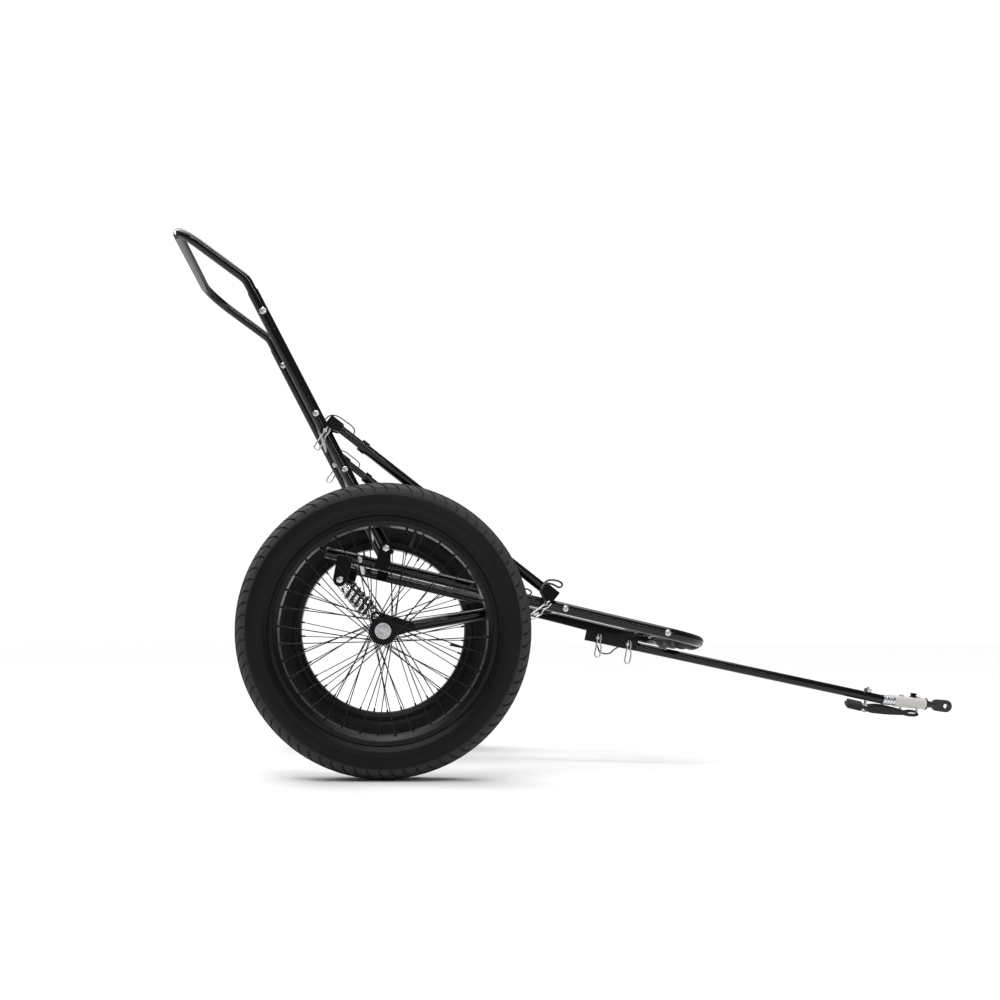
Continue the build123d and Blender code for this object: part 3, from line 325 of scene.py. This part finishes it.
def makeActive(piece):
    deselectAll()
    piece.select_set(True)
    bpy.context.view_layer.objects.active = piece


def outlined(name, points):
    # a closed loop of edges: a circle whose corners are moved one by one
    deselectAll()
    bpy.ops.mesh.primitive_circle_add(vertices=len(points))
    piece = bpy.context.object
    piece.name = piece.data.name = name
    for vertex, point in zip(piece.data.vertices, points):
        vertex.co = point
    return piece


def edit(piece, mode="VERT"):
    makeActive(piece)
    bpy.ops.object.mode_set(mode="EDIT")
    bpy.ops.mesh.select_mode(type=mode)


def tidyMesh(piece, smoothAngle=35):
    edit(piece)
    bpy.ops.mesh.select_all(action="SELECT")
    bpy.ops.mesh.remove_doubles(threshold=0.00001)
    bpy.ops.mesh.normals_make_consistent(inside=False)
    bpy.ops.object.mode_set(mode="OBJECT")
    bpy.ops.object.shade_smooth_by_angle(angle=radians(smoothAngle))


def applyModifier(piece, kind, **settings):
    makeActive(piece)
    modifier = piece.modifiers.new(kind.lower(), kind)
    for name, value in settings.items():
        setattr(modifier, name, value)
    bpy.ops.object.modifier_apply(modifier=modifier.name)


def spinRound(piece, steps, centre, axis):
    edit(piece)
    bpy.ops.mesh.select_all(action="SELECT")
    bpy.ops.mesh.spin(steps=steps, angle=2 * pi, center=centre, axis=axis)
    bpy.ops.object.mode_set(mode="OBJECT")


def placeInMesh(piece):
    makeActive(piece)
    bpy.ops.object.transform_apply(location=True, rotation=True, scale=True)


def finishPiece(piece, material, body, slot, *replaced):
    piece.data.materials.clear()
    piece.data.materials.append(material)
    if body:
        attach(piece, body)
    if replaced:
        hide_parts(*replaced)


def joinPieces(name, pieces):
    deselectAll()
    for piece in pieces:
        piece.select_set(True)
    bpy.context.view_layer.objects.active = pieces[0]
    if len(pieces) > 1:
        bpy.ops.object.join()
    whole = bpy.context.object
    whole.name = whole.data.name = name
    placeInMesh(whole)
    return whole


# ---- tyres: a directional tread whose shoulder blocks are cut by slanted grooves
tyre = {"pitches": 72, "stepsPerPitch": 5, "slant": 2.3, "slantEnd": 46, "grooveDepth": 0.0032,
        "bevel": 0.0005, "crown": 277, "crownInside": 270, "channel": (17.5, 20, 270),
        "shoulder": (20, 46.5, 254), "middle": (9, 272),
        "outer": [(37.5, 206.2), (37.5, 211.5), (40.8, 215.5), (44.6, 220.5), (46.3, 222.2), (46.6, 224.6),
                  (48.9, 229), (49.9, 236), (49.6, 243), (48.6, 248.5), (48.3, 250.5), (47.2, 252.2),
                  (46.2, 256), (44.6, 260.2), (42.4, 263.9), (36, 267.4), (28, 271), (20, 273.8),
                  (17.5, 274.5), (9, 276.3)],
        "inner": [(32.5, 206.2), (33, 212), (42, 224), (45, 236), (42, 250), (34, 261), (18, 268)]}


def slantAt(y):
    # the turn of the tread about the axle at this distance from its middle
    return tyre["slant"] / 1000 * min(abs(y), tyre["slantEnd"])


def tyrePoint(hub, y, radius):
    turn = slantAt(y)
    return hub + Vector((radius * sin(turn), y, radius * cos(turn))) / 1000


def makeTyre(side):
    hub = jointPoint(side + "_wheel_spin")
    outer = tyre["outer"] + [(0, tyre["crown"])] + [(-y, r) for y, r in tyre["outer"][::-1]]
    inner = [(-y, r) for y, r in tyre["inner"]] + [(0, tyre["crownInside"])] + tyre["inner"][::-1]
    piece = outlined(side + "Tyre", [tyrePoint(hub, y, r) for y, r in outer + inner])
    steps = tyre["pitches"] * tyre["stepsPerPitch"]
    edit(piece)
    bpy.ops.mesh.select_all(action="SELECT")
    bpy.ops.mesh.spin(steps=steps, angle=2 * pi, center=hub, axis=(0, 1, 0))
    bpy.ops.mesh.select_all(action="SELECT")
    bpy.ops.mesh.remove_doubles(threshold=0.00001)
    bpy.ops.mesh.normals_make_consistent(inside=False)
    bpy.ops.mesh.select_all(action="DESELECT")
    bpy.ops.object.mode_set(mode="OBJECT")
    channelFrom, channelTo, channelFloor = tyre["channel"]
    shoulderFrom, shoulderTo, shoulderFloor = tyre["shoulder"]
    middleTo, middleFloor = tyre["middle"]
    for face in piece.data.polygons:
        centre = face.center - hub
        y, radius = abs(centre.y) * 1000, hypot(centre.x, centre.z) * 1000
        turn = atan2(centre.x, centre.z) - slantAt(y)
        place = turn / (2 * pi) * steps + steps
        step = int(place) % tyre["stepsPerPitch"]
        half = int(place + tyre["stepsPerPitch"] // 2) % tyre["stepsPerPitch"]
        shoulder = shoulderFrom < y < shoulderTo and radius > shoulderFloor and step == 0
        middle = y < middleTo and radius > middleFloor and half == 0
        channel = channelFrom < y < channelTo and radius > channelFloor
        face.select = shoulder or middle or channel
    edit(piece, "FACE")
    bpy.ops.mesh.inset(thickness=tyre["bevel"], depth=-tyre["grooveDepth"], use_individual=False,
                       use_even_offset=False)
    bpy.ops.object.mode_set(mode="OBJECT")
    bpy.ops.object.shade_smooth_by_angle(angle=radians(28))
    finishPiece(piece, tyreRubber(side), side + "_wheel", "tyre_rubber", side + "_tyre")


for side in sides:
    makeTyre(side)
print("tyres made")

# ---- springs: 5.2 mm wire wound on a 32 mm mean circle between the two seats
spring = {"radius": 0.016, "wire": 0.0026, "turns": 4.5, "topSeat": 0.024, "footSeat": 0.018, "keep": 0.65,
          "corners": 14, "stepsPerTurn": 44}
for side in sides:
    top, foot = jointPoint(side + "_shock_tilt"), jointPoint(side + "_rod_tilt")
    heading = (foot - top).normalized()
    start = spring["topSeat"] + spring["wire"]
    height = (foot - top).length - spring["footSeat"] - spring["wire"] - start
    angles = [2 * pi * i / spring["corners"] for i in range(spring["corners"])]
    section = [(spring["radius"] + spring["wire"] * cos(a), 0, spring["wire"] * sin(a)) for a in angles]
    coil = outlined(side + "Spring", section)
    steps = int(spring["stepsPerTurn"] * spring["turns"])
    applyModifier(coil, "SCREW", angle=2 * pi * spring["turns"], screw_offset=height, steps=steps,
                  render_steps=steps, axis="Z")
    edit(coil, "EDGE")
    bpy.ops.mesh.select_all(action="DESELECT")
    bpy.ops.mesh.select_non_manifold()
    bpy.ops.mesh.edge_face_add()
    bpy.ops.object.mode_set(mode="OBJECT")
    turn = heading.to_track_quat("Z", "X").to_matrix().to_4x4()
    coil.matrix_world = Matrix.Translation(top + heading * start) @ turn
    placeInMesh(coil)
    tidyMesh(coil, 50)
    finishPiece(coil, springEnamel, side + "_shock_upper", "spring_black", side + "_shock_spring")
    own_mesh(coil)
print("springs wound")

# ---- bolts and screws: chamfered hex heads, and button heads with a hex socket
screws = {"headRadius": 0.006, "headHeight": 0.0035, "headBevel": 0.0021, "socket": 0.0026,
          "socketDepth": 0.004, "socketLift": 0.0002, "boltRadius": 0.0072, "boltHeight": 0.004,
          "boltBevel": 0.0007}
# half the width that each bolt clamps, and the rails' outer face from the trailer's middle
faces = {"arm": 0.0114, "shock": 0.0114, "back": 0.0144, "handle": 0.011, "rod": 0.0115, "rail": 0.243}
barReach = 0.03  # further than a crossbar's section is wide


def headBlank(place, outward, corners, radius, height, bevel, segments):
    # a short cylinder standing on the metal, with its outer rim bevelled
    deselectAll()
    bpy.ops.mesh.primitive_cylinder_add(vertices=corners, radius=radius, depth=height,
                                        location=place + Vector((0, outward * height / 2, 0)),
                                        rotation=(radians(-90 * outward), 0, 0))
    head = bpy.context.object
    edit(head, "FACE")
    bpy.ops.mesh.select_all(action="DESELECT")
    bpy.ops.object.mode_set(mode="OBJECT")
    for face in head.data.polygons:
        face.select = face.normal.z > 0.9
    edit(head, "FACE")
    bpy.ops.mesh.bevel(offset=bevel, segments=segments)
    bpy.ops.object.mode_set(mode="OBJECT")
    return head


def hexHead(place, outward):
    return headBlank(place, outward, 6, screws["boltRadius"], screws["boltHeight"], screws["boltBevel"], 2)


def buttonHead(place, outward):
    head = headBlank(place, outward, 28, screws["headRadius"], screws["headHeight"], screws["headBevel"], 4)
    deselectAll()
    rise = outward * (screws["headHeight"] + screws["socketLift"])
    bpy.ops.mesh.primitive_cylinder_add(vertices=6, radius=screws["socket"], depth=screws["socketDepth"],
                                        location=place + Vector((0, rise, 0)), rotation=(radians(90), 0, 0))
    key = bpy.context.object
    applyModifier(head, "BOOLEAN", operation="DIFFERENCE", object=key, solver="EXACT")
    bpy.data.objects.remove(key)
    return head


def sideHeads(point, sign, half):
    # a bolt's head outboard and its nut inboard, each on its face
    outer, inner = Vector(point), Vector(point)
    outer.y += sign * half
    inner.y -= sign * half
    return [hexHead(outer, sign), hexHead(inner, -sign)]


def crossbarScrews(node, count):
    # one screw outboard of each end of each crossbar, read from the bars' own mesh
    mesh = nodes[node].data
    found = []
    for vertex in mesh.vertices:
        if all((vertex.co.xz - c).length > barReach for c in found):
            found.append(vertex.co.xz.copy())
    heads = []
    for seed in found[:count]:
        near = [v.co.xz for v in mesh.vertices if (v.co.xz - seed).length < barReach]
        middle = (Vector((min(p.x for p in near), min(p.y for p in near)))
                  + Vector((max(p.x for p in near), max(p.y for p in near)))) / 2
        for sign in sides.values():
            heads.append(buttonHead(Vector((middle.x, sign * faces["rail"], middle.y)), sign))
    return heads


deckHeads, backHeads = crossbarScrews("deck_crossbars", 3), crossbarScrews("back_crossbars", 3)
back = {"rake": radians(117.4), "handleBolt": 0.514, "offset": 0.232}
for side, sign in sides.items():
    deckHeads += sideHeads(jointPoint(side + "_arm_travel"), sign, faces["arm"])
    deckHeads += sideHeads(jointPoint(side + "_shock_tilt"), sign, faces["shock"])
    pivot = jointPoint("back_recline") + Vector((0, sign * back["offset"], 0))
    deckHeads += sideHeads(pivot, sign, faces["back"])
    along = Vector((cos(back["rake"]), 0, sin(back["rake"]))) * back["handleBolt"]
    backHeads += sideHeads(pivot + along, sign, faces["handle"])
    shockHeads = joinPieces(side + "ShockBolt", sideHeads(jointPoint(side + "_rod_tilt"), sign, faces["rod"]))
    tidyMesh(shockHeads, 30)
    finishPiece(shockHeads, zincPlate, side + "_arm", "zinc_steel", side + "_shock_bolt")
for name, heads, body, node in (("deckScrews", deckHeads, "trailer_frame", "deck_fasteners"),
                                ("backScrews", backHeads, "back_frame", "back_fasteners")):
    whole = joinPieces(name, heads)
    tidyMesh(whole, 30)
    finishPiece(whole, zincPlate, body, "zinc_steel", node)
print("fasteners made")

# ---- front bar grip: a half sleeve clipped under the bar, with four finger waves
grip = {"inner": 0.0111, "outer": 0.013, "wave": 0.0034, "waves": 4, "length": 0.304, "stations": 96,
        "reach": 88, "arcs": 20, "endThinning": 0.0008, "endShare": 0.012}
deckPitch = radians(13.32)
barMiddle = Vector((0.22971, 0, 0.25474))


def gripPoint(y, radius, angle):
    # angle 0 is straight below the bar, square to the deck
    down, ahead = Vector((-sin(deckPitch), 0, -cos(deckPitch))), Vector((cos(deckPitch), 0, -sin(deckPitch)))
    return barMiddle + Vector((0, y, 0)) + down * (radius * cos(angle)) + ahead * (radius * sin(angle))


arc = [radians(grip["reach"] * (2 * i / grip["arcs"] - 1)) for i in range(grip["arcs"] + 1)]
ring = [gripPoint(-grip["length"] / 2, grip["outer"], a) for a in arc]
ring += [gripPoint(-grip["length"] / 2, grip["inner"], a) for a in arc[::-1]]
sleeve = outlined("frontGrip", ring)
edit(sleeve)
bpy.ops.mesh.select_all(action="SELECT")
bpy.ops.mesh.edge_face_add()
stride = (0, grip["length"] / grip["stations"], 0)
for station in range(grip["stations"]):
    bpy.ops.mesh.extrude_region_move(TRANSFORM_OT_translate={"value": stride})
bpy.ops.object.mode_set(mode="OBJECT")
for vertex in sleeve.data.vertices:
    offset = vertex.co - barMiddle
    radial = Vector((offset.x, 0, offset.z))
    if radial.length > (grip["inner"] + grip["outer"]) / 2:
        share = (offset.y + grip["length"] / 2) / grip["length"]
        swell = (0.5 - 0.5 * cos(2 * pi * grip["waves"] * share)) ** 0.7
        edge = min(1, share / grip["endShare"], (1 - share) / grip["endShare"])
        vertex.co += radial.normalized() * (grip["wave"] * swell - grip["endThinning"] * (1 - edge))
tidyMesh(sleeve, 45)
finishPiece(sleeve, gripRubber, "trailer_frame", "grip_rubber", "front_grip")
print("grip made")

# ---- coupler sleeve: a flexible moulding with rounded ends, between the two halves of the coupler
sleeveSizes = {"radius": 0.012, "bore": 0.0066, "length": 0.0658, "round": 0.0016, "sections": 26,
               "bend": 0.02}
flexPoint = jointPoint("coupler_flex")
swivelAxis = Vector(joints["hitch_swivel"]["axis"])
half, outerRadius, corner = sleeveSizes["length"] / 2, sleeveSizes["radius"], sleeveSizes["round"]
bore, sections = sleeveSizes["bore"], sleeveSizes["sections"]
nick = corner * 0.3  # the middle of a rounded end
profile = [(-half, bore), (-half, outerRadius - corner), (-half + nick, outerRadius - nick),
           (-half + corner, outerRadius)]
profile += [(-half + corner + 2 * (half - corner) * i / sections, outerRadius) for i in range(1, sections)]
profile += [(half - corner, outerRadius), (half - nick, outerRadius - nick), (half, outerRadius - corner),
            (half, bore)]
profile += [(half - 2 * half * i / sections, bore) for i in range(1, sections)]
up = Vector((-swivelAxis.z, 0, swivelAxis.x))
flexible = outlined("couplerSleeve", [flexPoint + swivelAxis * along + up * rise for along, rise in profile])
spinRound(flexible, 56, flexPoint, swivelAxis)
tidyMesh(flexible, 40)
flexible.data.materials.clear()
flexible.data.materials.append(sleevePolymer)
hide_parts("coupler_sleeve")
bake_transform(flexible)
print("coupler sleeve made")

# ---- safety strap: folded laps held against the tongue, and a twisted tail with a stitched loop
eyeCentre = onTongue(0.590, -0.0265, 0)
strap = {"width": 0.022, "thickness": 0.002, "laps": 5, "lapLength": 0.030, "lapRise": 0.0026,
         "lapShift": 0.0016, "lean": radians(-13), "start": Vector((-0.0245, 0, 0.0085)), "steps": 6}


def ribbon(name, stations):
    # stations are (centre, direction of the width, width); the cloth is given its thickness after
    deselectAll()
    bpy.ops.mesh.primitive_grid_add(x_subdivisions=len(stations) - 1, y_subdivisions=4, size=1)
    piece = bpy.context.object
    columns = sorted({round(v.co.x, 5) for v in piece.data.vertices})
    for vertex in piece.data.vertices:
        centre, direction, width = stations[columns.index(round(vertex.co.x, 5))]
        vertex.co = centre + direction.normalized() * (vertex.co.y * width)
    piece.name = piece.data.name = name
    applyModifier(piece, "SOLIDIFY", thickness=strap["thickness"], offset=0)
    applyModifier(piece, "SUBSURF", levels=1, render_levels=1)
    tidyMesh(piece, 50)
    return piece


runAlong = Vector((cos(strap["lean"]), 0, sin(strap["lean"])))
runUp = Vector((-sin(strap["lean"]), 0, cos(strap["lean"])))
lapStart = eyeCentre + strap["start"] - runUp * (strap["lapRise"] * (strap["laps"] - 1) / 2)
folded = []
for lap in range(strap["laps"]):
    way = 1 if lap % 2 == 0 else -1
    base = lapStart + runUp * (strap["lapRise"] * lap) + runAlong * (strap["lapShift"] * lap)
    roll = radians(27 + 2 * cos(3 * lap))  # the whole stack is rolled, so its flat side shows
    skew = Vector((0.03 * sin(2 * lap), cos(roll), sin(roll)))
    for step in range(strap["steps"] + 1):
        share = (step / strap["steps"] - 0.5) * way
        folded.append((base + runAlong * (strap["lapLength"] * share), skew, strap["width"]))
    if lap < strap["laps"] - 1:
        turn = strap["lapLength"] * 0.5 + strap["lapRise"] * 0.45
        folded.append((base + runAlong * (turn * way) + runUp * (strap["lapRise"] / 2), skew, strap["width"]))
block = ribbon("foldedStrap", folded)

# the tail: two plies stood nearly on edge, then an open stitched loop at the end
# each row is the place along, the drop, the turn in degrees and the width in mm
tailPieces = []
for name, depth, rows in (
        ("strapTail", -0.004, [(-0.008, 0.003, 20, 18), (0.003, -0.0005, 50, 18), (0.014, -0.0015, 78, 18),
                               (0.028, -0.003, 86, 17), (0.042, -0.005, 92, 16), (0.056, -0.0065, 84, 15),
                               (0.070, -0.0078, 80, 13), (0.082, -0.009, 84, 11), (0.088, -0.0095, 86, 10)]),
        ("strapSecond", 0.002, [(0.004, 0.004, 15, 18), (0.016, 0.005, 40, 17), (0.030, 0.003, 64, 16),
                                (0.045, 0.000, 70, 15), (0.060, -0.003, 74, 14), (0.074, -0.006, 80, 12),
                                (0.086, -0.0085, 84, 10)]),
        ("strapLoop", -0.002, [(0.083, -0.0075, 38, 10), (0.092, -0.0052, 34, 10), (0.102, -0.0056, 32, 10),
                               (0.110, -0.0075, 30, 10), (0.1145, -0.0108, 28, 10), (0.1105, -0.0142, 30, 10),
                               (0.101, -0.0146, 34, 11), (0.091, -0.0132, 38, 11),
                               (0.082, -0.0112, 42, 11)])):
    stations = []
    for along, drop, turn, width in rows:
        stations.append((eyeCentre + Vector((along, depth, drop)),
                         Vector((0, cos(radians(turn)), sin(radians(turn)))), width / 1000))
    tailPieces.append(ribbon(name, stations))
for piece in [block] + tailPieces:
    finishPiece(piece, webbing, "trailer_frame", "strap_webbing")
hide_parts("safety_strap")
print("strap folded")

# ---- soft rubber keeper on top of the coupler sleeve
knob = {"along": 0.0072, "stretch": 1.5, "sink": 0.0004,
        "rows": [(0.0051, 0), (0.0054, 0.0012), (0.0050, 0.0024), (0.0034, 0.0034), (0.0033, 0.0044),
                 (0.0046, 0.0056), (0.0049, 0.0070), (0.0042, 0.0083), (0.0022, 0.0090)]}
capBase = flexPoint + swivelAxis * knob["along"] + up * (sleeveSizes["radius"] - knob["sink"])
capRing = [capBase + up * rise + swivelAxis * radius for radius, rise in knob["rows"]]
capRing += [capBase + up * knob["rows"][-1][1], capBase]
cap = outlined("rubberKeeper", capRing)
spinRound(cap, 32, capBase, up)
for vertex in cap.data.vertices:
    vertex.co += swivelAxis * ((vertex.co - capBase).dot(swivelAxis) * (knob["stretch"] - 1))
tidyMesh(cap, 50)
finishPiece(cap, gripRubber, "coupler_front", "grip_rubber")
print("keeper made")

# ---- finishes on the CAD nodes
finishOf = {"black_powder_coat": powderCoat, "wheel_black": wheelPaint, "zinc_steel": zincPlate,
            "chromed_steel": chromePlate, "tube_rubber": butylRubber, "black_plastic": plugPlastic,
            "hitch_black": hitchPaint, "spring_black": springEnamel, "coated_cable": cableJacket,
            "grip_rubber": gripRubber, "grey_polymer": sleevePolymer, "strap_webbing": webbing,
            "tyre_rubber": gripRubber}
for part in frame["record"]["subparts"]:
    node = nodes[part["node"]]
    node.data.materials.clear()
    node.data.materials.append(finishOf[part["material_slot"]])
print("CAD nodes finished")

# ---- floor and soft studio light
deselectAll()
bpy.ops.mesh.primitive_plane_add(size=40, location=(0, 0, 0))
floor = bpy.context.object
floor.name = "floor"
floorPaint = clouded("matt white studio floor", {"Roughness": 0.9, "IOR": 1.4},
                     size=(900, 60), colors=("dfdfdf", "e2e2e2"),
                     roughness=(0.85, 0.95), bump=(0.02, 0.0005))
floor.data.materials.append(floorPaint)

world = bpy.data.worlds.new("studio")
world.use_nodes = True
backdrop = world.node_tree.nodes["Background"]
backdrop.inputs["Color"].default_value = (1, 1, 1, 1)
rays = world.node_tree.nodes.new("ShaderNodeLightPath")
strength = world.node_tree.nodes.new("ShaderNodeMapRange")
strength.inputs["To Min"].default_value = 0.2  # what lights the object
strength.inputs["To Max"].default_value = 1.05  # what shows as the backdrop
world.node_tree.links.new(rays.outputs["Is Camera Ray"], strength.inputs["Value"])
world.node_tree.links.new(strength.outputs[0], backdrop.inputs["Strength"])
bpy.context.scene.world = world
bpy.context.scene.view_settings.view_transform = "Standard"

lights = {"strip": {"place": (-0.5, -2.0, 2.7), "size": (2.8, 0.14), "power": 40},
          "lowStrip": {"place": (0.6, -2.8, 1.3), "size": (2.2, 0.1), "power": 9},
          "rear": {"place": (-2.4, 1.6, 2.2), "size": (0.3, 1.8), "power": 22}}
aim = Vector((0, 0, 0.4))
for name, light in lights.items():
    data = bpy.data.lights.new(name, "AREA")
    data.shape = "RECTANGLE"
    data.size, data.size_y = light["size"]
    data.energy = light["power"]
    lamp = bpy.data.objects.new(name, data)
    lamp.location = light["place"]
    lamp.rotation_euler = (aim - Vector(light["place"])).to_track_quat("-Z", "Y").to_euler()
    bpy.context.collection.objects.link(lamp)
overhead = bpy.data.lights.new("overhead", "SUN")  # one very wide soft source, so the floor is evenly white
overhead.energy = 3.7
overhead.angle = radians(75)
overheadLamp = bpy.data.objects.new("overhead", overhead)
overheadLamp.rotation_euler = (radians(-12), radians(-8), 0)
bpy.context.collection.objects.link(overheadLamp)
print("studio lit")
